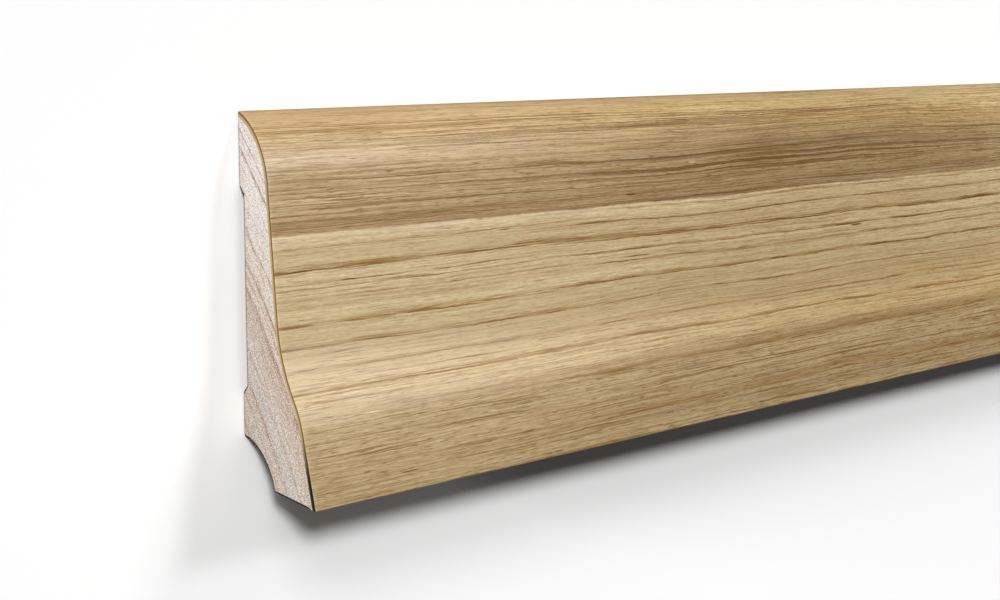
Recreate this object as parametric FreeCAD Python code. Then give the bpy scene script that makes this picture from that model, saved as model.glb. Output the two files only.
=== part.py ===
"""Skirting board length: a sawn softwood core with an oak veneer wrapped round its front.

The board lies on its back. +X runs along the length, +Y up the board from its foot to
its nose, and +Z from the wall plane out to the face. The origin is in the middle of the
back, on the plane of the two lands that bear on the wall. All sizes are in millimetres.

The section is one outline of straight runs and tangent arcs, carried along the length.
A lean is the angle, in degrees, at which a stretch of the front tips back to the wall.
"""
import FreeCAD, Part
import math
import os

Vector = FreeCAD.Vector

# The whole board
LENGTH = 2500.0
HEIGHT = 60.0
THICKNESS = 22.0

# The veneer
VENEER_THICKNESS = 1.0

# The front, from the foot upwards: foot face, shoulder, cove, upper face and nose
FOOT_RISE = 11.4
FOOT_LEAN = 16.7
SHOULDER_RADIUS = 14.5
OGEE_LEAN = 37.9
COVE_RADIUS = 22.7
FACE_LEAN = 6.2
NOSE_RADIUS = 13.1

# The back: two lands, and the shallow relief groove between them
UPPER_LAND_WIDTH = 12.1
LOWER_LAND_WIDTH = 7.4
GROOVE_DEPTH = 1.3
GROOVE_CHAMFER_ANGLE = 45.0

# The hollow cut out of the heel, where the back meets the floor
HEEL_HOLLOW_RISE = 7.0
HEEL_HOLLOW_RADIUS = 10.0


def section_point(depth, height):
    """The point on the board's near end at a depth from the wall and a height above its sole."""
    return Vector(-LENGTH / 2, height - HEIGHT / 2, depth)


def outward(lean):
    """The unit vector that points straight out of a front face with this lean."""
    angle = math.radians(lean)
    return Vector(0, math.sin(angle), math.cos(angle))


def upward(lean):
    """The unit vector that runs up a front face with this lean."""
    angle = math.radians(lean)
    return Vector(0, math.cos(angle), -math.sin(angle))


def line(start, end):
    """A straight edge of the outline."""
    return Part.LineSegment(start, end).toShape()


def leaning_arc(centre, radius, first_lean, last_lean):
    """An arc of the front between two leans. A radius below zero gives a hollow one."""
    middle_lean = (first_lean + last_lean) / 2
    start = centre + outward(first_lean) * radius
    middle = centre + outward(middle_lean) * radius
    end = centre + outward(last_lean) * radius
    return Part.Arc(start, middle, end).toShape()


def shoulder_centre():
    """Centre of the rounded shoulder, which starts where the foot's flat face stops."""
    foot_top_depth = THICKNESS - FOOT_RISE * math.tan(math.radians(FOOT_LEAN))
    foot_top = section_point(foot_top_depth, FOOT_RISE)
    return foot_top - outward(FOOT_LEAN) * SHOULDER_RADIUS


def cove_centre():
    """Centre of the cove, which takes over from the shoulder at the steepest lean."""
    return shoulder_centre() + outward(OGEE_LEAN) * (SHOULDER_RADIUS + COVE_RADIUS)


def nose_centre():
    """Centre of the nose, tangent to the upper face and ending at the back's top corner.

    The corner lies a gap behind the plane of the upper face. The nose leaves that plane
    below the corner by half the chord that the gap cuts from its circle.
    """
    face_foot = cove_centre() - outward(FACE_LEAN) * COVE_RADIUS
    corner = section_point(0, HEIGHT)
    gap = (face_foot - corner).dot(outward(FACE_LEAN))
    half_chord = math.sqrt(gap * (2 * NOSE_RADIUS - gap))
    face_height = (corner - face_foot).dot(upward(FACE_LEAN)) - half_chord
    return face_foot + upward(FACE_LEAN) * face_height - outward(FACE_LEAN) * NOSE_RADIUS


def front_edges(inset):
    """Edges of the front from the sole to the back, all lying an inset behind the face."""
    nose_radius = NOSE_RADIUS - inset
    last_lean = math.degrees(math.acos(-nose_centre().z / nose_radius))
    shoulder = leaning_arc(shoulder_centre(), SHOULDER_RADIUS - inset, FOOT_LEAN, OGEE_LEAN)
    cove = leaning_arc(cove_centre(), -COVE_RADIUS - inset, OGEE_LEAN, FACE_LEAN)
    nose = leaning_arc(nose_centre(), nose_radius, FACE_LEAN, last_lean)
    sole = section_point(THICKNESS - inset / math.cos(math.radians(FOOT_LEAN)), 0)
    foot_face = line(sole, shoulder.Vertexes[0].Point)
    upper_face = line(cove.Vertexes[-1].Point, nose.Vertexes[0].Point)
    return [foot_face, shoulder, cove, upper_face, nose]


def heel_hollow():
    """The hollow's arc, from the back to the sole. It leaves the back square to it."""
    centre_height = HEEL_HOLLOW_RISE - HEEL_HOLLOW_RADIUS
    last_angle = math.asin(-centre_height / HEEL_HOLLOW_RADIUS)
    middle_angle = (math.pi / 2 + last_angle) / 2
    points = []
    for angle in (math.pi / 2, middle_angle, last_angle):
        depth = HEEL_HOLLOW_RADIUS * math.cos(angle)
        height = centre_height + HEEL_HOLLOW_RADIUS * math.sin(angle)
        points.append(section_point(depth, height))
    return Part.Arc(points[0], points[1], points[2]).toShape()


def back_edges(top):
    """Edges of the back from its top point, over both lands and the groove, to the hollow."""
    chamfer = GROOVE_DEPTH / math.tan(math.radians(GROOVE_CHAMFER_ANGLE))
    groove_top = HEIGHT - UPPER_LAND_WIDTH
    groove_foot = HEEL_HOLLOW_RISE + LOWER_LAND_WIDTH
    corners = [
        top,
        section_point(0, groove_top),
        section_point(GROOVE_DEPTH, groove_top - chamfer),
        section_point(GROOVE_DEPTH, groove_foot + chamfer),
        section_point(0, groove_foot),
        section_point(0, HEEL_HOLLOW_RISE),
    ]
    return [line(start, end) for start, end in zip(corners, corners[1:])]


def run_along(edges):
    """The solid made by carrying a closed outline along the board's whole length."""
    return Part.Face(Part.Wire(edges)).extrude(Vector(LENGTH, 0, 0))


def softwood_core():
    """The sawn core, whose front lies one veneer thickness behind the finished face."""
    front = front_edges(VENEER_THICKNESS)
    back = back_edges(front[-1].Vertexes[-1].Point)
    hollow = heel_hollow()
    sole = line(hollow.Vertexes[-1].Point, front[0].Vertexes[0].Point)
    return run_along(front + back + [hollow, sole])


def oak_veneer():
    """The veneer sheet, from the foot's lower corner round the nose to the back."""
    face = front_edges(0)
    glue_line = front_edges(VENEER_THICKNESS)
    back_end = line(face[-1].Vertexes[-1].Point, glue_line[-1].Vertexes[-1].Point)
    sole_end = line(glue_line[0].Vertexes[0].Point, face[0].Vertexes[0].Point)
    return run_along(face + [back_end] + glue_line[::-1] + [sole_end])


def main():
    """Writes each piece of the board to its own file."""
    os.makedirs("parts", exist_ok=True)
    for piece in (softwood_core, oak_veneer):
        solid = piece()
        solid.exportStep(f"parts/{piece.__name__}.step")
        print(piece.__name__, "volume", round(solid.Volume / 1000, 1), "cm3")


main()
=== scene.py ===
"""Looks of a skirting board length: oak veneer wrapped round a softwood core, lying on its back.

+X runs along the board, +Y up it from foot to nose, and +Z out of the wall to the face.
Sizes of the board's make are in millimetres, and meshes are in metres.
"""
import logging
import math
from dataclasses import dataclass
from typing import Any

import bmesh
import bpy
import numpy as np
from bpy.types import Material, Node, NodeSocket, NodeTree, Object
from mathutils import Matrix, Vector


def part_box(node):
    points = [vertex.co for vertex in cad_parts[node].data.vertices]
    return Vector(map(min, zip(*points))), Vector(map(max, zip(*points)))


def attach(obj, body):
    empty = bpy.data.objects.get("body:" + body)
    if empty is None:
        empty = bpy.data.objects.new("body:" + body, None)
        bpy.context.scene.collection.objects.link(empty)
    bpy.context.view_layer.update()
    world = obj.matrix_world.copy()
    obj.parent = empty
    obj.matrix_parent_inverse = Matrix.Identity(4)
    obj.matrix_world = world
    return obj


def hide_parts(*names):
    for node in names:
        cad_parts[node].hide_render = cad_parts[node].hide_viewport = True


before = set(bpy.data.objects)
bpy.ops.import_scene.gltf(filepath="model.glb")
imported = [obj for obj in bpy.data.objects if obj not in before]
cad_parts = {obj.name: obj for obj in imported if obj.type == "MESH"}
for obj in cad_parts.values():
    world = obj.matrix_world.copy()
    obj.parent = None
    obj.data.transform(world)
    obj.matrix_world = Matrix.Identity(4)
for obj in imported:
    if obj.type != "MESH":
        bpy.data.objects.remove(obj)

MM = 0.001
MERGE_DISTANCE = 2e-6
NOISE_ROUGHNESS = 0.55
SHEET_UV = "sheet"
PLY = "ply"
# Name of the mark of painted shade along the core's end edges.
RIM_SHADE = "rim"
WHITE = "#FFFFFF"

# A span is the two ends of a range, and a rise is a span and the span that it is carried to.
# Curves are rows of a place and what is found there: a level, or an sRGB hex colour.
Span = tuple[float, float]
Rise = tuple[Span, Span]
Levels = tuple[tuple[float, float], ...]
Tones = tuple[tuple[float, str], ...]

log = logging.getLogger("skirting")


def linear(hex_colour: str) -> tuple[float, float, float, float]:
    """Turns an sRGB hex colour into the linear colour that shaders use.

    A channel is a share of 255. Up to 0.04045 it is divided by 12.92, and above that it is
    ((share + 0.055) / 1.055) to the power 2.4.

    Args:
        hex_colour: six hex digits, with a leading hash.

    Returns:
        Linear red, green, blue and a full alpha.
    """
    shares = [int(hex_colour[i:i + 2], 16) / 255 for i in (1, 3, 5)]
    red, green, blue = (s / 12.92 if s <= 0.04045 else ((s + 0.055) / 1.055) ** 2.4 for s in shares)
    return red, green, blue, 1.0


def add_node(tree: NodeTree, kind: str, inputs: dict[str | int, Any] | list[Any] | None = None,
             stops: list[tuple[float, Any]] | None = None, **settings: Any) -> Node:
    """Adds one node, sets it up and links it.

    Args:
        tree: the node tree.
        kind: the node's type, less its "ShaderNode" start.
        inputs: what the inputs get, by name or number or in order from the first one: a
            node's first output, a socket or a plain value.
        stops: a colour ramp's places, each with a grey level or an sRGB hex colour.
        settings: the node's own properties.

    Returns:
        The new node.
    """
    node = tree.nodes.new("ShaderNode" + kind)
    for name, value in settings.items():
        setattr(node, name, value)
    given = inputs if isinstance(inputs, dict) else dict(enumerate(inputs or []))
    for name, value in given.items():
        if isinstance(value, Node):
            value = value.outputs[0]
        if isinstance(value, NodeSocket):
            tree.links.new(value, node.inputs[name])
        else:
            node.inputs[name].default_value = value
    if stops:
        ramp = node.color_ramp
        while len(ramp.elements) < len(stops):
            ramp.elements.new(1.0)
        for element, (place, tone) in zip(ramp.elements, stops):
            element.position = place
            element.color = linear(tone) if isinstance(tone, str) else (tone, tone, tone, 1.0)
    return node


def new_material(name: str) -> Material:
    """Makes a node material with an empty tree.

    Args:
        name: the material's name.

    Returns:
        The material.
    """
    material = bpy.data.materials.new(name)
    material.use_nodes = True
    material.node_tree.nodes.clear()
    return material


def outward(lean: float | np.ndarray) -> np.ndarray:
    """Unit (Y, Z) direction straight out of a front face: (sin lean, cos lean).

    Args:
        lean: how far the face tips back to the wall, in degrees.

    Returns:
        The direction, or one row for each lean.
    """
    angle = np.radians(lean)
    return np.stack([np.sin(angle), np.cos(angle)], axis=-1)


def upward(lean: float) -> np.ndarray:
    """Unit (Y, Z) direction up a front face: (cos lean, -sin lean)."""
    out = outward(lean)
    return np.array([out[1], -out[0]])


def divided(start: np.ndarray, end: np.ndarray, count: int) -> np.ndarray:
    """Evenly spaced points of a line, both ends among them: start + share * (end - start)."""
    return start + (end - start) * np.linspace(0, 1, count)[:, None]


def eased_corner(before: np.ndarray, corner: np.ndarray, after: np.ndarray, radius: float,
                 count: int) -> np.ndarray:
    """An arc that rounds off a corner.

    It touches each side radius / tan(half angle) from the corner. Its centre lies on the
    bisector, radius / sin(half angle) away, and the points turn evenly round it.

    Args:
        before: unit direction from the corner back along the first side.
        corner: the corner.
        after: unit direction from the corner on along the second side.
        radius: the arc's radius.
        count: how many points it has.

    Returns:
        A (count, 2) array.
    """
    half = math.acos(float(before @ after)) / 2
    touch = radius / math.tan(half)
    bisector = (before + after) / np.linalg.norm(before + after)
    centre = corner + bisector * radius / math.sin(half)
    first, last = corner + before * touch - centre, corner + after * touch - centre
    sweep = math.pi - 2 * half
    turn = np.linspace(0, sweep, count)[:, None]
    return centre + (first * np.sin(sweep - turn) + last * np.sin(turn)) / math.sin(sweep)


def moved_in(loop: np.ndarray, distance: np.ndarray | float) -> np.ndarray:
    """A closed clockwise loop moved inwards.

    Each point goes along the mitre of its two sides: the sum of their inward directions
    over one plus their dot product, times the distance.

    Args:
        loop: an (N, 2) array.
        distance: one distance, or one for each point.

    Returns:
        The moved loop.
    """
    ahead = np.roll(loop, -1, axis=0) - loop
    ahead /= np.linalg.norm(ahead, axis=1)[:, None]
    inward = np.stack([ahead[:, 1], -ahead[:, 0]], axis=-1)
    behind = np.roll(inward, 1, axis=0)
    mitre = (inward + behind) / (1 + (inward * behind).sum(axis=1))[:, None]
    return loop + mitre * np.broadcast_to(distance, len(loop))[:, None]


@dataclass(frozen=True)
class FrontOutline:
    """The moulded front in section, in millimetres, with the sizes its cutters give it.

    It climbs from the sole up a leaning foot, round a shoulder, through a cove, up a leaning
    face and over a nose to the top of the back. Curves and flats are divided into steps of
    about the given lengths, the upper face by face_length, its rough length.
    """

    height: float
    thickness: float
    foot_rise: float = 11.4
    foot_lean: float = 16.7
    shoulder_radius: float = 14.5
    ogee_lean: float = 37.9
    cove_radius: float = 22.7
    face_lean: float = 6.2
    nose_radius: float = 13.1
    arris_radius: float = 0.2
    arris_points: int = 5
    face_length: float = 20.0
    curve_step: float = 0.35
    flat_step: float = 1.2

    def centres(self) -> tuple[np.ndarray, np.ndarray, np.ndarray]:
        """Centres of the shoulder, the cove and the nose.

        The shoulder touches the top of the foot's flat. The cove meets the shoulder at the
        ogee's lean, on the far side of the face. The nose touches the upper face and passes
        through the back's top corner, which lies a gap behind that face: it leaves the face
        half a chord, sqrt(gap * (2 * radius - gap)), below the corner's level.

        Returns:
            Three (Y, Z) points in millimetres.
        """
        foot_top = np.array([self.foot_rise - self.height / 2,
                             self.thickness - self.foot_rise * math.tan(math.radians(self.foot_lean))])
        shoulder = foot_top - outward(self.foot_lean) * self.shoulder_radius
        cove = shoulder + outward(self.ogee_lean) * (self.shoulder_radius + self.cove_radius)
        face_foot = cove - outward(self.face_lean) * self.cove_radius
        corner = np.array([self.height / 2, 0.0])
        gap = (face_foot - corner) @ outward(self.face_lean)
        half_chord = math.sqrt(gap * (2 * self.nose_radius - gap))
        rise = (corner - face_foot) @ upward(self.face_lean) - half_chord
        nose = face_foot + upward(self.face_lean) * rise - outward(self.face_lean) * self.nose_radius
        return shoulder, cove, nose

    def arc(self, centre: np.ndarray, radius: float, first: float, last: float, length: float) -> np.ndarray:
        """Points of an arc: its centre plus radius times the outward direction of each lean.

        Args:
            centre: the arc's centre.
            radius: its radius, below zero where it is hollow.
            first: the lean at its start, in degrees.
            last: the lean at its end.
            length: its length on the finished face, which sets how many points it has.

        Returns:
            An (N, 2) array, both ends among them.
        """
        leans = np.linspace(first, last, math.ceil(length / self.curve_step) + 1)
        return centre + outward(leans) * radius

    def points(self, inset: float) -> np.ndarray:
        """Points of the front, from the sole to the back, at an inset behind the face.

        The finished face has its two end corners eased. The count is the same for every
        inset, so that two insets make the two sides of a sheet.

        Args:
            inset: how far behind the finished face the points lie, in millimetres.

        Returns:
            An (N, 2) array of Y and Z in millimetres.
        """
        shoulder, cove, nose = self.centres()
        radius = self.nose_radius - inset
        full_lean = math.degrees(math.acos(-nose[1] / self.nose_radius))
        last_lean = math.degrees(math.acos(-nose[1] / radius))
        top = nose + outward(last_lean) * radius
        sole = np.array([-self.height / 2,
                         self.thickness - inset / math.cos(math.radians(self.foot_lean))])
        foot_arris = eased_corner(np.array([0.0, -1.0]), sole, upward(self.foot_lean),
                                  self.arris_radius, self.arris_points)
        top_arris = eased_corner(-upward(last_lean), top, np.array([-1.0, 0.0]),
                                 self.arris_radius, self.arris_points)
        nose_end = last_lean - math.degrees(np.linalg.norm(top_arris[0] - top) / radius)
        if inset:
            foot_arris = divided(sole, foot_arris[-1], self.arris_points)
            top_arris = divided(top_arris[0], top, self.arris_points)
        curves = [
            self.arc(shoulder, self.shoulder_radius - inset, self.foot_lean, self.ogee_lean,
                     math.radians(self.ogee_lean - self.foot_lean) * self.shoulder_radius),
            self.arc(cove, -self.cove_radius - inset, self.ogee_lean, self.face_lean,
                     math.radians(self.ogee_lean - self.face_lean) * self.cove_radius),
            self.arc(nose, radius, self.face_lean, nose_end,
                     math.radians(full_lean - self.face_lean) * self.nose_radius),
        ]
        foot_count = math.ceil(self.foot_rise / self.flat_step) + 1
        face_count = math.ceil(self.face_length / self.flat_step) + 1
        return np.concatenate([
            foot_arris,
            divided(foot_arris[-1], curves[0][0], foot_count)[1:],
            curves[0][1:],
            curves[1][1:],
            divided(curves[1][-1], curves[2][0], face_count)[1:],
            curves[2][1:-1],
            top_arris,
        ])


def girths(points: np.ndarray) -> np.ndarray:
    """Length along a line of points: the running sum of the distances between them."""
    steps = np.linalg.norm(np.diff(points, axis=0), axis=1)
    return np.concatenate([[0.0], np.cumsum(steps)])


@dataclass
class Surface:
    """A grid of points in millimetres, with the mark and the sheet place of each."""

    points: np.ndarray
    mark: np.ndarray
    sheet: np.ndarray | None = None

    def quads(self, first: int) -> np.ndarray:
        """Faces of the grid: each takes a point, the next in its row, and the two below them.

        Args:
            first: the number of the grid's first point in the mesh.

        Returns:
            An (N, 4) array of point numbers.
        """
        rows, columns = self.points.shape[:2]
        corner = first + np.arange(rows - 1)[:, None] * columns + np.arange(columns - 1)
        return np.stack([corner, corner + 1, corner + columns + 1, corner + columns], axis=-1).reshape(-1, 4)


def joined(name: str, mark_name: str, surfaces: list[Surface], sharp_angle: float = 35.0) -> Object:
    """Makes one closed mesh object from grids that share their edges.

    Args:
        name: the piece's name.
        mark_name: the point attribute that holds the grids' marks.
        surfaces: the grids. What they leave open is filled with flat faces.
        sharp_angle: in degrees, the angle from which an edge is sharp.

    Returns:
        The object, at the origin.
    """
    sizes = [s.points.shape[0] * s.points.shape[1] for s in surfaces]
    firsts = np.concatenate([[0], np.cumsum(sizes)[:-1]])
    points = np.concatenate([s.points.reshape(-1, 3) for s in surfaces]) * MM
    faces = np.concatenate([s.quads(first) for s, first in zip(surfaces, firsts)])
    mesh = bpy.data.meshes.new(name)
    mesh.from_pydata(points.tolist(), [], faces.tolist())
    mark = mesh.attributes.new(mark_name, "FLOAT", "POINT")
    mark.data.foreach_set("value", np.concatenate([s.mark.ravel() for s in surfaces]).astype(np.float32))
    if surfaces[0].sheet is not None:
        places = np.concatenate([s.sheet.reshape(-1, 2) for s in surfaces]) * MM
        layer = mesh.uv_layers.new(name=SHEET_UV)
        layer.uv.foreach_set("vector", places[faces.ravel()].astype(np.float32).ravel())
    shell = bmesh.new()
    shell.from_mesh(mesh)
    bmesh.ops.remove_doubles(shell, verts=shell.verts, dist=MERGE_DISTANCE)
    open_edges = [edge for edge in shell.edges if edge.is_boundary]
    filled = bmesh.ops.holes_fill(shell, edges=open_edges, sides=0)["faces"]
    bmesh.ops.triangulate(shell, faces=filled)
    bmesh.ops.recalc_face_normals(shell, faces=shell.faces)
    shell.to_mesh(mesh)
    shell.free()
    mesh.shade_smooth()
    mesh.set_sharp_from_angle(angle=math.radians(sharp_angle))
    piece = bpy.data.objects.new(name, mesh)
    bpy.context.collection.objects.link(piece)
    return piece


@dataclass(frozen=True)
class Run:
    """Stations along the board, each end's arris eased to a quarter round, in millimetres."""

    length: float
    arris: float
    arris_steps: int = 4
    spans: int = 50
    edge_width: float = 0.4

    def stations(self) -> tuple[np.ndarray, np.ndarray]:
        """Places of the stations, and how far the surface is eased back at each.

        Over the quarter round the place is arris * (1 - cos turn) from the end, and the
        ease is arris * (1 - sin turn).

        Returns:
            Two arrays in millimetres: X, and the ease.
        """
        turn = np.linspace(0, math.pi / 2, self.arris_steps + 1)
        near = np.append(self.arris * (1 - np.cos(turn)), self.arris + self.edge_width)
        ease = np.append(self.arris * (1 - np.sin(turn)), 0.0)
        middle = np.linspace(near[-1], self.length - near[-1], self.spans + 1)[1:-1]
        places = np.concatenate([near, middle, self.length - near[::-1]])
        return places - self.length / 2, np.concatenate([ease, np.zeros(len(middle)), ease[::-1]])

    def ends(self) -> np.ndarray:
        """How near each station is to an end: one at its arris, zero edge_width behind it.

        Returns:
            An array of shares.
        """
        places, _ = self.stations()
        inside = self.length / 2 - np.abs(places) - self.arris
        return np.clip(1 - inside / self.edge_width, 0, 1)


def along(places: np.ndarray, sections: np.ndarray) -> np.ndarray:
    """Sets sections at their places along the board.

    Args:
        places: X of each station, as an array of K.
        sections: (Y, Z) points, as K x N x 2.

    Returns:
        K x N x 3 points.
    """
    across = np.broadcast_to(places[:, None, None], sections.shape[:2] + (1,))
    return np.concatenate([across, sections], axis=-1)


def spread(value: Node | NodeSocket, source: Span, target: Span, smooth: bool = False) -> Node:
    """Carries a value from one range to another, and holds it at the ends.

    Like the functions below, it adds to the tree that its value is in.

    Args:
        value: the value.
        source: its range.
        target: the range it gets.
        smooth: whether it starts and stops gently.

    Returns:
        The node.
    """
    kind = "SMOOTHSTEP" if smooth else "LINEAR"
    return add_node(value.id_data, "MapRange", [value, *source, *target], interpolation_type=kind)


def ramped(value: Node | NodeSocket, span: Span, *curves: Levels | Tones) -> list[Node]:
    """Reads curves of levels or colours, with one colour ramp for each.

    A ramp's stop lies at (place - low) / (high - low), between the span's two ends.

    Args:
        value: the place where the curves are read.
        span: the lowest and the highest place of the ramps.
        curves: the curves.

    Returns:
        A node for each curve.
    """
    low, high = span
    share = spread(value, span, (0, 1))
    stops = [[((place - low) / (high - low), tone) for place, tone in curve] for curve in curves]
    return [add_node(value.id_data, "ValToRGB", [share], ramp) for ramp in stops]


def painted(tree: NodeTree, base: Any, layers: list[tuple[Any, Any]]) -> NodeSocket:
    """Lays colours over one another.

    Args:
        tree: the node tree.
        base: the lowest colour, as a linear colour, a node or a socket.
        layers: each colour above it with its strength before it. The colour is an sRGB hex
            colour, a node or a socket.

    Returns:
        The colour of them all.
    """
    for strength, colour in layers:
        top = linear(colour) if isinstance(colour, str) else colour
        base = add_node(tree, "Mix", {0: strength, 6: base, 7: top}, data_type="RGBA").outputs[2]
    return base


def strongest(marks: list[Node]) -> Node:
    """Takes the highest of several levels at each point.

    Args:
        marks: the levels.

    Returns:
        The node.
    """
    highest, *others = marks
    for mark in others:
        highest = add_node(mark.id_data, "Math", [highest, mark], operation="MAXIMUM")
    return highest


@dataclass(frozen=True)
class Mottle:
    """Noise whose blobs have a real size, and the levels that it is carried to.

    Its coordinates are millimetres over the size of a blob along each axis, and two sizes
    make a flat pattern. Detail is how many finer layers are added. The seed moves the
    pattern, so that two noises of like size differ. The noise is spread evenly about a half,
    and the source is the part of its range that fills the target.
    """

    size: tuple[float, ...]
    detail: float
    seed: float
    source: Span = (0, 1)
    target: Span = (0, 1)

    def noise(self, place: Node) -> Node:
        """Adds the noise alone.

        Args:
            place: the place in millimetres.

        Returns:
            The noise, before it is carried to its levels.
        """
        tree = place.id_data
        scale = [1 / length for length in self.size] + [1] * (3 - len(self.size))
        scaled = add_node(tree, "Mapping", {"Vector": place, "Location": [self.seed] * 3, "Scale": scale})
        inputs = {"Vector": scaled, "Scale": 1, "Detail": self.detail, "Roughness": NOISE_ROUGHNESS}
        return add_node(tree, "TexNoise", inputs, noise_dimensions=f"{len(self.size)}D")

    def levels(self, place: Node) -> Node:
        """The noise carried to its levels, at each place in millimetres."""
        return spread(self.noise(place), self.source, self.target)

    def carried(self, source: Span, target: Span) -> "Mottle":
        """The same noise with other levels."""
        return Mottle(self.size, self.detail, self.seed, source, target)


@dataclass(frozen=True)
class GrowthLine:
    """A growth line: its dark lower edge, the brown above it, how strong it is, and its onset."""

    place: float
    width: float
    depth: float
    onset: float = 0.14

    def levels(self) -> Levels:
        """Nothing an onset below its edge, full depth at the edge, and nothing past its width."""
        return (self.place - self.onset, 0), (self.place, self.depth), (self.place + self.width, 0)


def lined(lines: tuple[GrowthLine, ...], low: float) -> Levels:
    """The curve of growth lines, with nothing at its low end and between them."""
    return ((low, 0),) + tuple(row for line in lines for row in line.levels())


@dataclass(frozen=True)
class Grain:
    """A layer of grain: its streaks' length and width in millimetres, detail, strength and seed."""

    length: float
    width: float
    detail: float
    amount: float
    seed: float

    def mottle(self, source: Span, least: float) -> Mottle:
        """Its noise, which rises over the source from the least level to its strength."""
        return Mottle((self.length, self.width), self.detail, self.seed, source, (least, self.amount))


@dataclass(frozen=True)
class Spot:
    """A mark on the oak: its place along and its girth, its length and width, and its strength."""

    along: float
    girth: float
    length: float
    width: float
    depth: float


def rows_of(kind: type, *rows: tuple[float, ...]) -> tuple[Any, ...]:
    """One growth line, grain or spot from each row of its values."""
    return tuple(kind(*row) for row in rows)


@dataclass(frozen=True)
class Cover:
    """How much of something the sheet has: a level at each girth, times one along the board.

    The curve goes up the girth, and the rise goes from place to level along the board.
    """

    curve: Levels
    rise: Rise = ((0, 1), (1, 1))

    def amount(self, rings: Node, girth: float) -> Node:
        """Works the amount out at each point.

        Args:
            rings: the ring place in millimetres.
            girth: the sheet's whole girth.

        Returns:
            The node.
        """
        tree = rings.id_data
        x, y, _ = add_node(tree, "SeparateXYZ", [rings]).outputs
        levels = [*ramped(y, (0, girth), self.curve), spread(x, *self.rise)]
        return add_node(tree, "Math", levels, operation="MULTIPLY")


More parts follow.
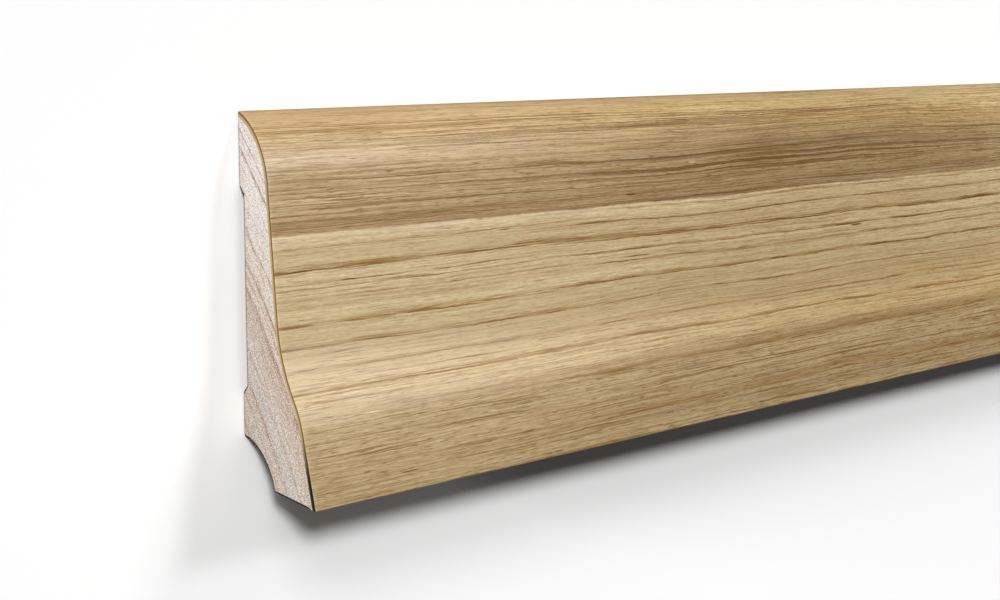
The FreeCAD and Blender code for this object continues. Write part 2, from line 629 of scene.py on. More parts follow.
@dataclass(frozen=True)
class LacqueredOakVeneer:
    """Flat-sliced European oak veneer, sanded and sealed with a satin lacquer.

    Slicing leaves long growth lines, brown where the open pores lie, over honey-coloured
    wood, with short dark pore strokes and hair-fine fibres. The lacquer gives a soft, broad
    gloss. Each tone is a share on one scale from pore brown to cream. Places are girths on
    the sheet in millimetres, up from the foot's corner, and the growth lines change between
    the near stretch and the rest, about 60 mm along.

    Fibres are 0.02 mm across: too fine to show, so they are drawn ten to forty times as
    wide. Vessels are 0.2 to 0.3 mm wide and lie as strokes of 2 to 8 mm, most of them in the
    brown lines.
    """

    girth: float

    # The wood's tone: bands up the girth, smoke that comes back along it, broad and fine streaks.
    tones: Tones = (
        (0, "#4A3320"), (0.22, "#735534"), (0.4, "#8E7451"), (0.58, "#A98E64"), (0.74, "#BFA980"),
        (0.88, "#D3BF96"), (1, "#E6D6AF"))
    # Partly painted shade: the bands hold the wood's tone with differences of light across the girth worked
    # in, darker at the foot.
    bands_with_shade: Levels = (
        (0, 0.64), (4, 0.65), (8, 0.69), (12, 0.76), (14, 0.69), (17, 0.92), (20, 0.84), (22, 0.73),
        (26, 0.75), (30, 0.88), (36, 0.91), (40, 0.81), (43, 0.99), (43.2, 0.6), (47, 0.88), (51, 0.91),
        (56, 0.87), (59, 1), (63, 0.98), (65.5, 0.91), (66, 0.53), (66.4, 0.45))
    smoke: Levels = (
        (0, 0.1), (5, 0.27), (8, 0.11), (11.5, 0.12), (13, 0.36), (15, 0.16), (17, 0.26), (20, 0.27),
        (28, 0.07), (33, 0.13), (35.5, 0.15), (38, 0.1), (43, 0.14), (43.2, 0.11), (47, 0.42),
        (52, 0.43), (57, 0.42), (60, 0.17), (66.4, 0.05))
    smoke_period: float = 272
    smoke_drift: Mottle = Mottle((420, 60), 1, 31)
    smoke_reach: Rise = ((180, 600), (0, 420))
    band_grain: tuple[Grain, ...] = rows_of(
        Grain, (150, 2.6, 2, 0.07, 41), (70, 0.6, 3, 0.04, 51))
    band_cover: Cover = Cover((
        (0, 0.4), (12, 0.4), (15, 0.6), (22, 1), (43, 1), (43.3, 0.7), (66.4, 0.7)))
    tone_grain: tuple[Grain, ...] = rows_of(
        Grain, (14, 0.22, 3, 0.06, 61), (5, 0.2, 2, 0.06, 71), (1.2, 0.3, 3, 0.07, 81))
    streak_source: Span = (0.2, 0.8)

    # How far the rings stray from their girth at the near end.
    wander: Mottle = Mottle((60, 14), 1, 3, target=(-1.2, 1.2))
    wander_held: Rise = ((20, 130), (0.3, 1))
    ripples: Mottle = Mottle((9, 2), 4, 17, target=(-0.22, 0.22))
    fray: Mottle = Mottle((1.6, 0.5), 2, 29, target=(-0.08, 0.08))
    drift: Mottle = Mottle((520, 90), 1, 11, target=(-0.5, 0.5))
    drift_reach: Rise = ((190, 800), (0, 34))

    # The growth lines in three zones of the girth, and the fibres that fray them.
    latewood: str = "#916F39"
    latewood_shows: Rise = ((0.04, 0.5), (0, 0.85))
    core: str = "#57360A"
    core_shows: Rise = ((0.5, 0.95), (0, 0.8))
    zones: tuple[Span, ...] = (
        (0, 21), (21, 43.1), (43.1, 66.5))
    near_lines: tuple[tuple[GrowthLine, ...], ...] = (
        rows_of(
            GrowthLine, (0.9, 0.3, 0.2), (3.1, 0.3, 0.25), (5.4, 0.25, 0.2), (7.1, 0.35, 0.22),
            (8.9, 0.3, 0.2), (10.1, 0.3, 0.2), (11.7, 0.35, 0.28), (14.8, 0.4, 0.22),
            (15.8, 0.25, 0.15), (18, 1.2, 0.5)),
        rows_of(
            GrowthLine, (21.6, 0.8, 0.5), (25.3, 0.8, 0.7), (28.7, 0.9, 0.65), (31.6, 0.3, 0.35),
            (32.9, 0.4, 0.35), (34.4, 0.3, 0.5), (35.3, 0.3, 0.6), (37.2, 1.3, 0.65), (40.9, 0.3, 0.4)),
        rows_of(
            GrowthLine, (44.6, 1.1, 0.35), (47, 0.4, 0.2), (47.7, 0.4, 0.25), (49.1, 0.5, 0.22),
            (50.1, 0.5, 0.28), (51.7, 0.4, 0.25), (53.1, 0.6, 0.28), (56.7, 0.4, 0.25), (59.5, 1, 0.34),
            (61, 0.5, 0.36)))
    far_lines: tuple[tuple[GrowthLine, ...], ...] = (
        rows_of(
            GrowthLine, (2.3, 0.3, 0.3), (4.3, 1.4, 0.5), (7, 0.4, 0.35), (9.1, 0.3, 0.3),
            (11, 0.3, 0.3), (12.5, 1.1, 0.6), (15.6, 0.25, 0.3), (18.3, 0.8, 0.75)),
        rows_of(
            GrowthLine, (21.6, 0.5, 0.75), (22.6, 0.3, 0.45), (25.4, 0.35, 0.8), (27, 0.2, 0.3),
            (29.1, 0.8, 0.8), (32.4, 0.5, 0.6), (34.4, 0.6, 0.75), (36.7, 1.1, 0.85), (40, 0.4, 0.9),
            (42.4, 0.4, 0.5)),
        rows_of(
            GrowthLine, (45.4, 0.4, 0.35), (46.5, 0.35, 0.38), (47.8, 0.4, 0.42), (49.2, 0.45, 0.33),
            (51.1, 0.4, 0.42), (53.5, 0.4, 0.35), (54.7, 0.35, 0.3), (56.2, 0.3, 0.25), (58, 0.4, 0.45),
            (62.9, 0.3, 0.35)))
    crossing: Mottle = Mottle((14, 3), 2, 21, target=(0, 50))
    crossed: Rise = ((75, 100), (0, 1))
    faintness: Mottle = Mottle((40, 1.6), 3, 5, (0.35, 0.6), (0.8, 1.15))
    fibres: Mottle = Mottle((12, 0.21), 2, 9, (0.38, 0.6), (0.3, 1.4))
    strands: Mottle = fibres.carried((0.46, 0.6), (0.1, 1))

    # Veils of other hues, in patches or in zones.
    olive: str = "#A39A62"
    rose: str = "#BC8F72"
    hue: Mottle = Mottle((60, 2.2), 2, 71)
    tint: Mottle = Mottle((3.5, 0.5), 2, 77)
    veils: tuple[tuple[Mottle, str], ...] = (
        (hue.carried((0.52, 0.75), (0, 0.14)), olive), (hue.carried((0.46, 0.25), (0, 0.08)), rose),
        (tint.carried((0.5, 0.7), (0, 0.14)), olive), (tint.carried((0.48, 0.3), (0, 0.1)), rose))
    moss: str = "#A29A7C"
    moss_cover: Cover = Cover((
        (0, 0.42), (11, 0.36), (14, 0.1), (20, 0.26), (26, 0.28), (31, 0.1), (36, 0.05), (43, 0),
        (43.3, 0.28), (51, 0.36), (54.5, 0.12), (58, 0), (66.4, 0)),
        ((20, 90), (0.5, 1)))
    gold: str = "#C3A45A"
    gold_cover: Cover = Cover((
        (0, 0.05), (4, 0.08), (13, 0.1), (17, 0.2), (20, 0.2), (24, 0.1), (34, 0.04), (43, 0.02),
        (43.3, 0.04), (52, 0.1), (56, 0.36), (63.5, 0.5), (66.4, 0.45)))
    rose_cover: Cover = Cover((
        (0, 0.05), (13, 0.08), (18, 0.08), (21, 0.08), (22, 0.04), (34, 0.06), (43, 0.12), (43.3, 0.28),
        (50, 0.26), (53, 0.28), (56, 0.3), (63, 0.4), (66.4, 0.35)),
        ((15, 100), (1, 0.35)))

    # Fine hairs that come and go in tufts, and straighter ones on the upper face.
    hair: str = "#73531C"
    hair_grain: tuple[Grain, ...] = rows_of(
        Grain, (50, 0.34, 2, 0.7, 107), (24, 0.28, 2, 0.8, 120), (12, 0.22, 2, 0.65, 133),
        (5, 0.2, 2, 0.5, 146))
    hair_cover: Cover = Cover((
        (0, 1), (12, 0.98), (15, 0.72), (20, 0.66), (22, 0.42), (42.9, 0.42), (43.3, 0.85), (60, 0.86),
        (63, 0.6), (66.4, 0.4)),
        ((60, 100), (1, 1.2)))
    straight_hair: str = "#6B4B2A"
    straight_grain: tuple[Grain, ...] = rows_of(
        Grain, (260, 0.36, 1, 0.8, 159), (150, 0.27, 2, 0.8, 172), (90, 0.34, 1, 0.6, 185))
    straight_cover: Cover = Cover((
        (0, 0.5), (13, 0.35), (22, 0.2), (42.9, 0.2), (43.3, 0.85), (58, 0.85), (61, 0.75), (63, 0.45),
        (66.4, 0.2)),
        ((60, 100), (1, 1.6)))
    hair_source: Span = (0.54, 0.7)
    tuft_breadth: float = 8
    tuft_seed: float = 24
    tuft_shows: Rise = ((0.4, 0.6), (0.2, 1))

    # Vessels, pores, and marks that are placed one by one.
    vessels: Mottle = Mottle((8, 0.2), 1, 81)
    vessel_pull: float = 0.12
    vessel_shows: Rise = ((0.68, 0.78), (0, 0.5))
    ticks: Mottle = Mottle((3, 0.18), 1, 83, (0.62, 0.76), (0, 0.8))
    spot_fade: Span = (1, 0.5)
    dash: str = "#5F3D10"
    dashes: tuple[Spot, ...] = rows_of(
        Spot, (46, 40.6, 2, 0.14, 0.6), (18, 3.2, 2.4, 0.16, 0.85), (49, 0.9, 1.4, 0.15, 0.75),
        (28, 56, 2.2, 0.14, 0.4), (13.5, 35.3, 2.2, 0.18, 0.85), (24, 34.7, 7, 0.16, 0.55),
        (76.4, 45, 1.8, 0.2, 1), (93.5, 43.8, 1.4, 0.18, 1), (83, 43.3, 1.6, 0.14, 0.8),
        (141.5, 34.1, 2.4, 0.22, 1), (77, 33.1, 4, 0.18, 0.8), (2.4, 41.1, 1.2, 0.12, 0.4),
        (18, 25.4, 5, 0.16, 0.7))
    stain: str = "#8A5F30"
    stains: tuple[Spot, ...] = rows_of(
        Spot, (23, 63.7, 4.5, 0.35, 0.8), (130, 59, 11, 0.5, 1), (50, 7.8, 13, 1.4, 0.35),
        (78, 18.5, 9, 0.55, 0.8), (15, 37.9, 11, 0.5, 0.6), (36, 37.4, 9, 0.35, 0.5),
        (53, 37.9, 10, 0.45, 0.5), (100, 42.2, 7, 0.45, 0.6), (86, 42.8, 5, 0.3, 0.6),
        (172, 18.6, 14, 0.5, 0.7), (34, 18.3, 16, 0.6, 0.5), (53, 18.7, 8, 0.3, 0.5),
        (26, 29.6, 10, 0.35, 0.5), (34, 28.7, 14, 0.3, 0.5), (22, 26, 7, 0.35, 0.5),
        (50, 25.8, 12, 0.35, 0.4), (45, 22, 18, 0.35, 0.45), (14, 21.2, 14, 0.3, 0.4),
        (8, 16.3, 8, 0.4, 0.3), (55, 32.2, 8, 0.35, 0.35), (40, 44.4, 26, 0.5, 0.3),
        (136, 61.3, 22, 1.3, 0.3), (124, 16.8, 24, 1, 0.22))
    pale: str = "#EBD9B0"
    flecks: tuple[Spot, ...] = rows_of(
        Spot, (13, 13.4, 2, 0.16, 0.4), (93, 50.1, 1.3, 0.2, 0.4))

    # The cut edges from face to glue, the painted shade on them at the foot, and the lacquer over the grain.
    layers: Tones = (
        (0, "#6C532A"), (0.3, "#785C34"), (0.45, "#A08658"), (0.6, "#BCA37B"), (0.9, "#C4AD8A"),
        (1, "#BFA88A"))
    # Painted shade: near black edge layers where the foot's corner lies in shade at the near end, and a
    # little of them along the sole's edge.
    shaded_foot_layers: Tones = (
        (0, "#0C0500"), (0.4, "#040100"), (0.55, "#150C04"), (0.7, "#2A2014"), (0.9, "#453B2C"),
        (1, "#5E5545"))
    foot_shade_low: Rise = ((14.5, 4), (0, 1))
    foot_shade_near: Rise = ((0.5, 5), (1, 0.3))
    cut: Rise = ((0.02, 0.1), (0, 1))
    relief_strength: float = 0.3
    relief_depth: float = 0.04
    roughness: Rise = ((0.3, 0.7), (0.32, 0.4))

    def ring_place(self, flat: Node) -> Node:
        """The girth that each point's growth ring has at the near end.

        It is the point's own girth, plus small ripples, fraying and a slow wander, plus a drift
        that starts about 200 mm along, since rings never run quite parallel to the board.

        Args:
            flat: the place on the sheet in millimetres.

        Returns:
            The place on the sheet in millimetres, with that girth for its second value.
        """
        tree = flat.id_data
        x, y, _ = add_node(tree, "SeparateXYZ", [flat]).outputs
        held, far = spread(x, *self.wander_held), spread(x, *self.drift_reach, smooth=True)
        wander, ripples, fray, drift = (
            mottle.levels(flat) for mottle in (self.wander, self.ripples, self.fray, self.drift))
        shift = add_node(tree, "Math", [wander, held, ripples], operation="MULTIPLY_ADD")
        shift = add_node(tree, "Math", [shift, fray], operation="ADD")
        shift = add_node(tree, "Math", [drift, far, shift], operation="MULTIPLY_ADD")
        ring = add_node(tree, "Math", [y, shift], operation="ADD")
        return add_node(tree, "CombineXYZ", [x, ring])

    def growth(self, rings: Node) -> Node:
        """How brown the growth lines make each point, from none to one.

        Every zone of the girth has a ramp of lines for the near stretch and one for the
        rest. They cross over gradually, slow noise makes each line come and go, and the
        fibres fray it.

        Args:
            rings: the ring place in millimetres.

        Returns:
            The node.
        """
        tree = rings.id_data
        x, y, _ = add_node(tree, "SeparateXYZ", [rings]).outputs
        ragged = add_node(tree, "Math", [self.crossing.levels(rings), x], operation="ADD")
        change = spread(ragged, *self.crossed, smooth=True)
        zones = []
        for span, *stretches in zip(self.zones, self.near_lines, self.far_lines):
            near, far = ramped(y, span, *(lined(lines, span[0]) for lines in stretches))
            zones.append(add_node(tree, "Mix", {0: change, 2: near, 3: far}, data_type="FLOAT"))
        marks = [self.faintness.levels(rings), self.fibres.levels(rings)]
        marked = add_node(tree, "Math", marks, operation="MULTIPLY")
        return add_node(tree, "Math", [strongest(zones), marked], operation="MULTIPLY", use_clamp=True)

    def tone(self, rings: Node) -> Node:
        """How light the wood is between its lines: its band's tone less the smoke.

        The smoke is a darker stretch that comes back once in a smoke period, wandering
        further on: its depth * (1 - cos(2 * pi * place / period)) / 2.

        Args:
            rings: the ring place in millimetres.

        Returns:
            The node.
        """
        tree = rings.id_data
        x, y, _ = add_node(tree, "SeparateXYZ", [rings]).outputs
        band, depth = ramped(y, (0, self.girth), self.bands_with_shade, self.smoke)
        drift, reach = self.smoke_drift.levels(rings), spread(x, *self.smoke_reach)
        place = add_node(tree, "Math", [drift, reach, x], operation="MULTIPLY_ADD")
        turn = add_node(tree, "Math", [place, 2 * math.pi / self.smoke_period], operation="MULTIPLY")
        wave = add_node(tree, "Math", [turn], operation="COSINE")
        rise = spread(wave, (1, -1), (0, 1))
        loss = add_node(tree, "Math", [rise, depth], operation="MULTIPLY")
        return add_node(tree, "Math", [band, loss], operation="SUBTRACT")

    def hairs(self, rings: Node, grain: Grain, cover: Node) -> Node:
        """Hair-thin dark lines, drawn where a long streaky noise is high.

        A broader noise of the same length lets them come and go in tufts.

        Args:
            rings: the ring place in millimetres.
            grain: the noise, and how dark its lines are.
            cover: how much of them each point has.

        Returns:
            How dark each point is, from none to one.
        """
        tree = rings.id_data
        lines = grain.mottle(self.hair_source, 0).levels(rings)
        tufts = Mottle((grain.length, grain.width * self.tuft_breadth), 2, grain.seed + self.tuft_seed,
                       *self.tuft_shows)
        hairs = add_node(tree, "Math", [lines, tufts.levels(rings)], operation="MULTIPLY")
        return add_node(tree, "Math", [hairs, cover], operation="MULTIPLY")

    def spots(self, rings: Node, spots: tuple[Spot, ...]) -> Node:
        """Long thin marks that taper off: each is an ellipse, strong inside and none at its rim.

        Args:
            rings: the ring place in millimetres.
            spots: the marks.

        Returns:
            How strong they are at each point, from none to one.
        """
        tree = rings.id_data
        marks = []
        for spot in spots:
            middle, half = (spot.along, spot.girth, 0), (spot.length, spot.width, 1)
            local = add_node(tree, "Mapping", {"Vector": rings, "Location": middle, "Scale": half},
                             vector_type="TEXTURE")
            away = add_node(tree, "VectorMath", [local], operation="LENGTH").outputs["Value"]
            marks.append(spread(away, self.spot_fade, (0, spot.depth)))
        return strongest(marks)

    def edged(self, flat: Node, wood: NodeSocket) -> NodeSocket:
        """Colours the sheet's cut edges: a dark line at the face, then pale wood to the glue.

        At the near end, towards the foot's corner, the whole edge is painted near black as shade.
        Further along, the edge on the sole gets a little of the same painted shade.

        Args:
            flat: the place on the sheet in millimetres.
            wood: the face's colour.

        Returns:
            The colour of face and edges.
        """
        tree = flat.id_data
        ply = add_node(tree, "Attribute", attribute_name=PLY).outputs["Fac"]
        clean, shaded_edge = ramped(ply, (0, 1), self.layers, self.shaded_foot_layers)
        x, y, _ = add_node(tree, "SeparateXYZ", [flat]).outputs
        low, near = spread(y, *self.foot_shade_low, smooth=True), spread(x, *self.foot_shade_near)
        # Painted shade, strongest low on the girth at the near end.
        foot_shade = add_node(tree, "Math", [low, near], operation="MULTIPLY")
        cut = spread(ply, *self.cut)
        return painted(tree, wood, [(cut, painted(tree, clean, [(foot_shade, shaded_edge)]))])

    def material(self) -> Material:
        """Builds the material: the wood's tone, then veils, lines, hairs, pores, spots and edges.

        Returns:
            The material.
        """
        material = new_material("oak_veneer_satin_lacquer")
        tree = material.node_tree
        sheet = add_node(tree, "UVMap", uv_map=SHEET_UV)
        flat = add_node(tree, "VectorMath", {0: sheet, "Scale": 1 / MM}, operation="SCALE")
        rings = self.ring_place(flat)
        lines = self.growth(rings)
        broad, mossy, golden, rosy, hairy, straight = (
            cover.amount(rings, self.girth)
            for cover in (self.band_cover, self.moss_cover, self.gold_cover, self.rose_cover, self.hair_cover,
                          self.straight_cover))
        tone = self.tone(rings)
        for grain in self.band_grain + self.tone_grain:
            mottle = grain.mottle(self.streak_source, -grain.amount)
            streaks = mottle.levels(rings)
            cover = broad if grain in self.band_grain else 1
            tone = add_node(tree, "Math", [streaks, cover, tone], operation="MULTIPLY_ADD")
        wood = add_node(tree, "ValToRGB", [tone], list(self.tones))
        vessels = self.vessels.noise(rings)
        crowd = add_node(tree, "Math", [lines, self.vessel_pull, vessels], operation="MULTIPLY_ADD")
        strokes = spread(crowd, *self.vessel_shows)
        ticks = add_node(tree, "Math", [self.ticks.levels(rings), hairy], operation="MULTIPLY")
        stains, strands = self.spots(rings, self.stains), self.strands.levels(rings)
        stains = add_node(tree, "Math", [stains, strands], operation="MULTIPLY", use_clamp=True)
        layers = [(veil.levels(rings), colour) for veil, colour in self.veils]
        layers += [
            (mossy, self.moss),
            (golden, self.gold),
            (rosy, self.rose),
            (spread(lines, *self.latewood_shows), self.latewood),
            (spread(lines, *self.core_shows), self.core)]
        for grains, cover, colour in ((self.hair_grain, hairy, self.hair),
                                      (self.straight_grain, straight, self.straight_hair)):
            layers += [(self.hairs(rings, grain, cover), colour) for grain in grains]
        layers += [
            (ticks, self.hair),
            (strokes, self.core),
            (stains, self.stain),
            (self.spots(rings, self.dashes), self.dash),
            (self.spots(rings, self.flecks), self.pale)]
        wood = self.edged(flat, painted(tree, wood, layers))
        finest = mottle.noise(rings)
        relief = add_node(tree, "Math", [finest, strokes], operation="SUBTRACT")
        inputs = {"Strength": self.relief_strength, "Distance": self.relief_depth * MM, "Height": relief}
        bump = add_node(tree, "Bump", inputs)
        gloss = spread(finest, *self.roughness)
        shader = add_node(tree, "BsdfPrincipled", {"Base Color": wood, "Roughness": gloss, "Normal": bump})
        add_node(tree, "OutputMaterial", {"Surface": shader})
        return material


@dataclass(frozen=True)
class SawnSoftwood:
    """Spruce: planed along the back, cross-cut with a fine saw at the ends.

    The end grain is pale, with rings of pinkish latewood round a pith far behind the board,
    browner at their late edge, with thin rings between them and the speckle of cut cells. Its
    free edges carry a thin dark outline of painted shade. Ring places are in millimetres, inwards
    from the ring that the nose's corner lies on.

    Cells are 0.03 mm across: too fine to show, so they are drawn as specks of 0.2 mm.
    """

    pith: Span = (-160, -180)
    outermost: float = 261.9
    wander: Mottle = Mottle((160, 7, 7), 2, 2)
    wander_reach: float = 0.7
    ring_span: float = 36
    rings: tuple[GrowthLine, ...] = rows_of(
        GrowthLine, (2.1, 0.5, 0.65), (4.2, 0.7, 0.8), (11.9, 0.9, 0.6), (15.5, 0.8, 0.85),
        (17, 0.4, 0.55), (18.5, 2, 0.65), (25, 0.6, 0.5), (28.2, 1.1, 0.65), (30.5, 0.8, 0.5),
        (33.8, 0.9, 0.6))
    # Partly painted shade: the end grain's tone darkens away from the nose's ring, so the end is darker
    # towards the foot.
    end_tones_with_shade: Tones = (
        (0, "#F0E8DF"), (7, "#ECE6E0"), (13, "#E1D5C8"), (18, "#D6C8B9"), (19.6, "#CDBEAF"),
        (21, "#C4AE9B"), (22.8, "#CAB9A9"), (24.2, "#CEC4B9"), (26.5, "#C6BDB3"), (28.5, "#C2B8AD"),
        (31, "#C3B7AA"), (35, "#BAADA0"))
    end_ring: str = "#A4774F"
    late: str = "#80583A"
    late_shows: Rise = ((0.5, 1), (0, 0.55))
    blush: str = "#CFA68C"
    cell: str = "#7D6F66"
    fleck: str = "#FBF6F0"
    long_wood: str = "#DCC7A4"
    long_ring: str = "#BF9763"
    # Painted shade: the near black outline drawn along the end's free edges.
    edge: str = "#140C07"
    edge_shade_shows: Rise = ((0.04, 0.25), (0, 1))
    end_faces: Rise = ((0.5, 0.8), (0, 1))
    patches: Mottle = Mottle((60, 5, 3), 2, 7, (0.35, 0.65), (0.8, 1.5))
    rosiness: Mottle = Mottle((30, 1.6, 1.2), 3, 23, (0.48, 0.66), (0, 0.3))
    thin_rings: Mottle = Mottle((0.5, 6), 1, 37, (0.56, 0.74), (0, 0.45))
    speckle: Mottle = Mottle((8, 0.15, 0.2), 1, 13)
    grit: Mottle = speckle.carried((0.3, 0.7), (-0.16, 0.16))
    cells: Mottle = speckle.carried((0.51, 0.68), (0, 0.8))
    flecks: Mottle = speckle.carried((0.48, 0.3), (0, 0.75))
    roughness: float = 0.75
    relief_strength: float = 0.5
    relief_depth: float = 0.05

    def material(self) -> Material:
        """Builds the material.

        The ring place is the outermost ring's radius less the distance from the pith in the
        section, plus slow noise.

        Returns:
            The material.
        """
        material = new_material("spruce_planed_and_cross_cut")
        tree = material.node_tree
        spot = add_node(tree, "TexCoord")
        place = add_node(tree, "VectorMath", {0: spot.outputs["Object"], "Scale": 1 / MM}, operation="SCALE")
        section = add_node(tree, "VectorMath", [place, (0, 1, 1), (0, -self.pith[0], -self.pith[1])],
                           operation="MULTIPLY_ADD")
        radius = add_node(tree, "VectorMath", [section], operation="LENGTH").outputs["Value"]
        outermost = spread(self.wander.noise(place), (0, 1),
                           (self.outermost - self.wander_reach, self.outermost + self.wander_reach))
        across = add_node(tree, "Math", [outermost, radius], operation="SUBTRACT")
        rings, end = ramped(across, (0, self.ring_span), lined(self.rings, 0), self.end_tones_with_shade)
        rings = add_node(tree, "Math", [rings, self.patches.levels(place)], operation="MULTIPLY")
        grit = self.grit.levels(place)
        rings = add_node(tree, "Math", [rings, grit], operation="ADD", use_clamp=True)
        height = add_node(tree, "SeparateXYZ", [place]).outputs[1]
        turned = add_node(tree, "CombineXYZ", [across, height])
        end = painted(tree, end, [
            (self.rosiness.levels(place), self.blush),
            (rings, self.end_ring),
            (spread(rings, *self.late_shows), self.late),
            (self.thin_rings.levels(turned), self.end_ring),
            (self.cells.levels(place), self.cell),
            (self.flecks.levels(place), self.fleck)])
        facing = add_node(tree, "SeparateXYZ", [spot.outputs["Normal"]])
        facing = add_node(tree, "Math", [facing.outputs[0]], operation="ABSOLUTE")
        # The rim mark carries the painted shade onto the end's free edges.
        rim = add_node(tree, "Attribute", attribute_name=RIM_SHADE).outputs["Fac"]
        wood = painted(tree, linear(self.long_wood), [
            (rings, self.long_ring),
            (spread(facing, *self.end_faces), end),
            (spread(rim, *self.edge_shade_shows), self.edge)])
        inputs = {"Strength": self.relief_strength, "Distance": self.relief_depth * MM,
                  "Height": self.speckle.noise(place)}
        bump = add_node(tree, "Bump", inputs)
        finish = {"Base Color": wood, "Roughness": self.roughness, "Normal": bump}
        shader = add_node(tree, "BsdfPrincipled", finish)
        add_node(tree, "OutputMaterial", {"Surface": shader})
        return material


@dataclass(frozen=True)
class OakVeneer:
    """The oak sheet that wraps the front, from the foot's corner over the nose to the back."""

    front: FrontOutline
    length: float
    thickness: float = 1.0
    arris: float = 0.12
    plies: int = 4

    def build(self) -> Object:
        """Makes the sheet as a closed block.

        Its face and glue line are the front outline at two insets, carried along the board.
        Between them every layer is face + share * (glue line - face), on the two long edges
        and on the two ends. The ply mark is the depth below the face as a share of the
        thickness, and the sheet place is the distance from the near end and the girth.

        Returns:
            The piece.
        """
        run = Run(self.length, self.arris)
        places, ease = run.stations()
        face, glue = self.front.points(0.0), self.front.points(self.thickness)
        depth = ease / self.thickness
        outer = face + (glue - face) * depth[:, None, None]
        inner = np.broadcast_to(glue, outer.shape)
        girth = girths(face)
        share = np.linspace(0, 1, self.plies + 1)
        surfaces = [
            self.surface(places[:, None], outer, depth[:, None], girth),
            self.surface(places[:, None], inner, 1.0, girth),
        ]
        for edge in (0, -1):
            layers = outer[:, edge, None] + (inner[:, edge, None] - outer[:, edge, None]) * share[:, None]
            ply = depth[:, None] + (1 - depth[:, None]) * share
            surfaces.append(self.surface(places[:, None], layers, ply, girth[edge]))
        for end in (0, -1):
            layers = outer[end] + (inner[end] - outer[end]) * share[:, None, None]
            ply = depth[end] + (1 - depth[end]) * share[:, None]
            surfaces.append(self.surface(places[end], layers, ply, girth))
        return joined("oak_veneer_sheet", PLY, surfaces)

    def surface(self, place: np.ndarray | float, section: np.ndarray, ply: np.ndarray | float,
                girth: np.ndarray | float) -> Surface:
        """One side of the sheet.

        Args:
            place: X of each point, or what broadcasts to it.
            section: (Y, Z) of each point, rows x columns x 2.
            ply: depth of each point, or what broadcasts to it.
            girth: girth of each point, or what broadcasts to it.

        Returns:
            The grid.
        """
        shape = section.shape[:2]
        x = np.broadcast_to(place, shape)
        sheet = np.stack([x + self.length / 2, np.broadcast_to(girth, shape)], axis=-1)
        return Surface(np.concatenate([x[..., None], section], axis=-1), np.broadcast_to(ply, shape), sheet)

    def dress(self, piece: Object) -> None:
        """Gives the sheet its finish and its place in the frame.

        Args:
            piece: the sheet.
        """
        girth = float(girths(self.front.points(0.0))[-1])
        piece.data.materials.append(LacqueredOakVeneer(girth).material())
        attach(piece, "root")
        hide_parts("oak_veneer")


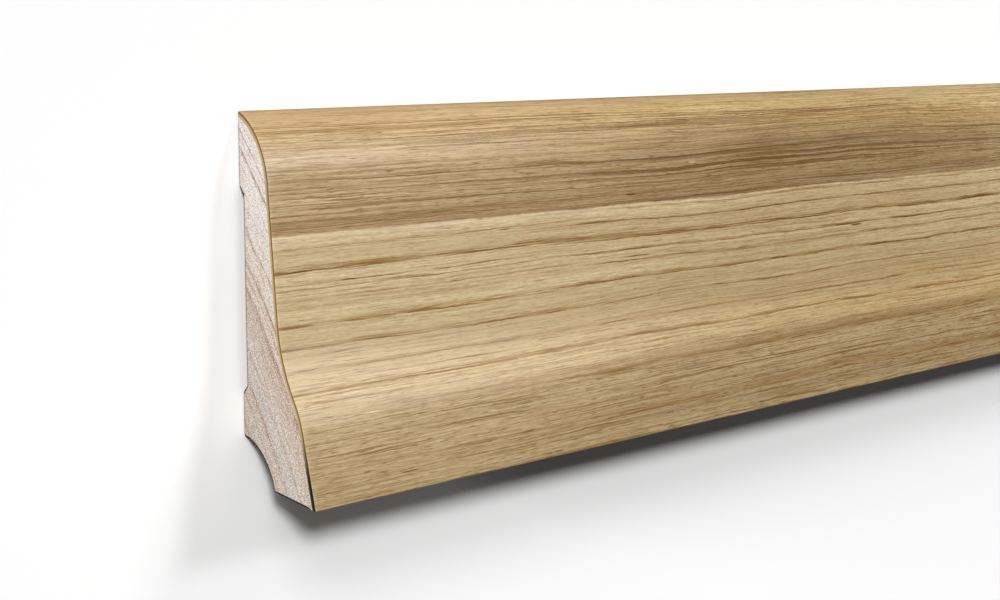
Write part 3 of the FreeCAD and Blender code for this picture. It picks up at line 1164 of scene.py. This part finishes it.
@dataclass(frozen=True)
class SoftwoodCore:
    """The core, with its two lands, the relief groove between them and the hollow heel."""

    front: FrontOutline
    length: float
    veneer_thickness: float = 1.0
    upper_land_width: float = 12.1
    lower_land_width: float = 7.4
    groove_depth: float = 1.3
    groove_chamfer_angle: float = 45.0
    heel_hollow_rise: float = 7.0
    heel_hollow_radius: float = 10.0
    corner_radius: float = 0.35
    corner_points: int = 5
    hollow_points: int = 40
    arris: float = 0.08
    # The band of painted shade round each end: its width, its taper before the glue, and its share on edges
    # that face back.
    rim_shade_width: float = 0.25
    rim_shade_taper: float = 1.2
    rim_shade_behind: float = 0.25

    def back(self) -> np.ndarray:
        """Points of the back and the hollow, from below the veneer's top edge to the sole.

        The hollow is an arc round a centre below the sole: it leaves the back square to it,
        and angle runs from a right angle down to where the arc meets the sole. Each corner
        is eased.

        Returns:
            An (N, 2) array of Y and Z in millimetres.
        """
        sole = -self.front.height / 2
        chamfer = self.groove_depth / math.tan(math.radians(self.groove_chamfer_angle))
        groove_top = self.front.height / 2 - self.upper_land_width
        groove_foot = sole + self.heel_hollow_rise + self.lower_land_width
        centre = sole + self.heel_hollow_rise - self.heel_hollow_radius
        last = math.asin((sole - centre) / self.heel_hollow_radius)
        meets_sole = np.array([sole, self.heel_hollow_radius * math.cos(last)])
        corners = np.array([
            [self.front.height / 2, 0.0], [groove_top, 0.0],
            [groove_top - chamfer, self.groove_depth], [groove_foot + chamfer, self.groove_depth],
            [groove_foot, 0.0], [sole + self.heel_hollow_rise, 0.0]])
        sides = np.diff(corners, axis=0)
        sides /= np.linalg.norm(sides, axis=1)[:, None]
        after = np.concatenate([sides[1:], [[0.0, 1.0]]])
        eased = [eased_corner(-side, corner, onward, self.corner_radius, self.corner_points)
                 for side, corner, onward in zip(sides, corners[1:], after)]
        heel = eased_corner(np.array([math.cos(last), -math.sin(last)]), meets_sole, np.array([0.0, 1.0]),
                            self.corner_radius, self.corner_points)
        trim = self.corner_radius / self.heel_hollow_radius
        angle = np.linspace(math.pi / 2 - trim, last + trim, self.hollow_points)[1:-1]
        hollow = np.stack([centre + self.heel_hollow_radius * np.sin(angle),
                           self.heel_hollow_radius * np.cos(angle)], axis=-1)
        return np.concatenate(eased + [hollow, heel])

    def build(self) -> Object:
        """Makes the core as a closed block.

        The outline is carried along the board, and at the ends its free points move in by
        the arris's ease. Along its free sides each end has a rim of painted shade,
        rim_shade_width wide, that tapers off rim_shade_taper before the glue. The rim mark is one
        on an edge that looks down, and less where it looks back: rim_shade_behind +
        (1 - rim_shade_behind) * how squarely it faces along Y.

        Returns:
            The piece.
        """
        glue, back = self.front.points(self.veneer_thickness), self.back()
        top, foot = glue[-1] - [self.rim_shade_taper, 0.0], glue[0] - [0.0, self.rim_shade_taper]
        loop = np.concatenate([glue, [top], back, [foot]])
        free = np.concatenate([np.zeros(len(glue)), np.ones(len(back) + 2)])
        run = Run(self.length, self.arris, edge_width=self.rim_shade_width)
        places, ease = run.stations()
        sections = np.stack([moved_in(loop, free * e) for e in ease])
        # Painted shade on the end's free edges, full where they face along Y.
        facing = np.abs(moved_in(loop, 1.0) - loop)[:, 0]
        edge = free * (self.rim_shade_behind + (1 - self.rim_shade_behind) * np.clip(facing, 0, 1))
        marks = run.ends()[:, None] * edge
        surfaces = [self.closed(along(places, sections), marks)]
        for end in (0, -1):
            inner = moved_in(loop, free * (self.arris + self.rim_shade_width))
            rim = np.stack([sections[end], inner])
            surfaces.append(self.closed(along(places[[end, end]], rim), np.stack([edge, edge * 0])))
        return joined("softwood_core_block", RIM_SHADE, surfaces)

    def closed(self, points: np.ndarray, marks: np.ndarray) -> Surface:
        """A grid whose last column is its first again, so that it closes round the section."""
        return Surface(np.concatenate([points, points[:, :1]], axis=1),
                       np.concatenate([marks, marks[:, :1]], axis=1))

    def dress(self, piece: Object) -> None:
        """Gives the core its finish and its place in the frame.

        Args:
            piece: the core.
        """
        piece.data.materials.append(SawnSoftwood().material())
        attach(piece, "root")
        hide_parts("softwood_core")


@dataclass(frozen=True)
class Lamp:
    """A distant soft light: where it stands, how bright a facing surface gets, and its spread."""

    name: str
    towards: tuple[float, float, float]
    level: float
    spread: float


@dataclass(frozen=True)
class Studio:
    """Pale floor, soft light and the camera at the photograph's angle.

    The camera's place and turn are in the board's frame, in millimetres and degrees, and
    its picture is 1000 by 600 with the lens's axis a little left of and above the middle.
    The floor reaches floor_half metres each way, floor_gap millimetres under the board's
    back, so that the two surfaces don't coincide.
    """

    near_end: float
    top: float
    ahead: float = 111.60
    above: float = 12.34
    out: float = 206.60
    turn: float = 37.616
    dip: float = 7.183
    focal_pixels: float = 1461.447
    axis_pixel: tuple[float, float] = (476.0, 216.19)
    picture: tuple[int, int] = (1000, 600)
    sensor_width: float = 36.0
    clip: Span = (0.01, 100.0)
    floor_half: float = 40.0
    floor_gap: float = 0.05
    floor_tone: str = "#7A7A7A"
    lamps: tuple[Lamp, ...] = (
        Lamp("key", (-0.42, 0.46, 0.78), 0.60, 8.0),
        Lamp("window", (-0.40, 0.72, 0.57), 0.30, 26.0),
        Lamp("fill", (0.43, 0.48, 0.765), 0.22, 10.0),
        Lamp("side", (-0.95, 0.30, 0.07), 0.62, 9.0),
        Lamp("glint", (0.50, 0.64, 0.58), 0.15, 13.0),
    )
    ambient: float = 0.05

    def camera(self) -> Object:
        """Sets up the camera.

        It looks along (cos dip * sin turn, -sin dip, -cos dip * cos turn), with its right
        side along (cos turn, 0, sin turn).

        Returns:
            The camera.
        """
        turn, dip = math.radians(self.turn), math.radians(self.dip)
        ahead = Vector((math.cos(dip) * math.sin(turn), -math.sin(dip), -math.cos(dip) * math.cos(turn)))
        right = Vector((math.cos(turn), 0.0, math.sin(turn)))
        up = right.cross(ahead)
        basis = Matrix((right, up, -ahead)).transposed().to_4x4()
        spot = Vector((self.near_end - self.ahead, self.top + self.above, self.out)) * MM
        data = bpy.data.cameras.new("camera")
        width, height = self.picture
        data.sensor_fit = "HORIZONTAL"
        data.sensor_width = self.sensor_width
        data.lens = data.sensor_width * self.focal_pixels / width
        data.shift_x = (width / 2 - self.axis_pixel[0]) / width
        data.shift_y = (self.axis_pixel[1] - height / 2) / width
        data.clip_start, data.clip_end = self.clip
        camera = bpy.data.objects.new("camera", data)
        camera.matrix_world = Matrix.Translation(spot) @ basis
        bpy.context.collection.objects.link(camera)
        bpy.context.scene.camera = camera
        return camera

    def light(self) -> None:
        """Adds the lamps: a sun's strength is pi times the level that a facing surface gets."""
        for lamp in self.lamps:
            data = bpy.data.lights.new(lamp.name, "SUN")
            data.energy = math.pi * lamp.level
            data.angle = math.radians(lamp.spread)
            sun = bpy.data.objects.new(lamp.name, data)
            sun.rotation_mode = "QUATERNION"
            sun.rotation_quaternion = Vector(lamp.towards).to_track_quat("Z", "Y")
            bpy.context.collection.objects.link(sun)

    def surroundings(self) -> None:
        """Sets an even pale sky, white where the camera sees it."""
        world = bpy.data.worlds.new("studio")
        world.use_nodes = True
        tree = world.node_tree
        tree.nodes.clear()
        path = add_node(tree, "LightPath")
        dim = add_node(tree, "Background", {"Color": linear(WHITE), "Strength": self.ambient})
        white = add_node(tree, "Background", {"Color": linear(WHITE), "Strength": 1})
        shown = add_node(tree, "MixShader", [path.outputs["Is Camera Ray"], dim, white])
        add_node(tree, "OutputWorld", {"Surface": shown})
        bpy.context.scene.world = world

    def floor(self) -> Object:
        """Lays a white floor just under the board's back.

        Returns:
            The floor.
        """
        half, level = self.floor_half, -self.floor_gap * MM
        mesh = bpy.data.meshes.new("floor")
        corners = [(-half, -half, level), (half, -half, level), (half, half, level), (-half, half, level)]
        mesh.from_pydata(corners, [], [(0, 1, 2, 3)])
        material = new_material("floor_matt_white_card")
        tree = material.node_tree
        path = add_node(tree, "LightPath")
        tone = painted(tree, linear(self.floor_tone), [(path.outputs["Is Camera Ray"], WHITE)])
        card = add_node(tree, "BsdfDiffuse", {"Color": tone})
        add_node(tree, "OutputMaterial", {"Surface": card})
        mesh.materials.append(material)
        floor = bpy.data.objects.new("floor", mesh)
        bpy.context.collection.objects.link(floor)
        return floor

    def build(self) -> None:
        """Sets up the camera, the lamps, the sky and the floor."""
        self.camera()
        self.light()
        self.surroundings()
        self.floor()


def main() -> None:
    """Builds the board round the frame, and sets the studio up."""
    logging.basicConfig(level=logging.INFO, format="%(name)s: %(message)s")
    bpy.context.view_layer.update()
    corners = np.array([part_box(node) for node in ("softwood_core", "oak_veneer")]) / MM
    low, high = corners[:, 0].min(axis=0), corners[:, 1].max(axis=0)
    length, height, thickness = (round(float(size), 3) for size in high - low)
    front = FrontOutline(height, thickness)
    for part in (SoftwoodCore(front, length), OakVeneer(front, length)):
        piece = part.build()
        part.dress(piece)
        log.info("%s: %d points, %d faces", piece.name, len(piece.data.vertices), len(piece.data.polygons))
    Studio(near_end=low[0], top=high[1]).build()
    scene = bpy.context.scene
    scene.view_settings.view_transform = "Standard"


if __name__ == "__main__":
    main()
